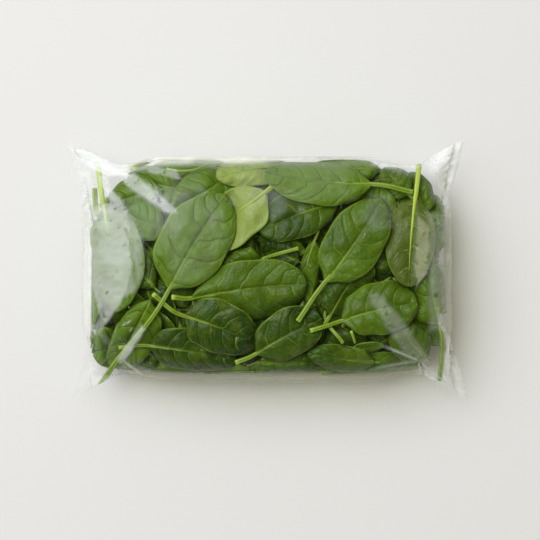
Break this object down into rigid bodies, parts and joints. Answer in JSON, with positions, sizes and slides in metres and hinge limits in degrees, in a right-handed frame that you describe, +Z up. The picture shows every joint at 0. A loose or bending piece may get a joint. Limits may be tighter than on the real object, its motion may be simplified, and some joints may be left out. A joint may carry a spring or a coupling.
{
  "type": "bag of spinach",
  "caption": "Clear pillow bag of baby spinach lying on its back, with a flat heat seal across each end and an empty film ear at each corner.",
  "frame": {"origin": "on the table under the middle of the bag", "axes": "+X along the bag from seal to seal, +Y across it, +Z up from the table through the side that shows"},
  "size_m": [0.25, 0.161, 0.0599],
  "materials": {
    "film": "clear, thin and glossy over green leaves",
    "leaf": "satin, veined",
    "stem": "satin, faintly ribbed"
  },
  "bodies": {
    "root": {"spinach_bag": "film"}
  },
  "joints": []
}
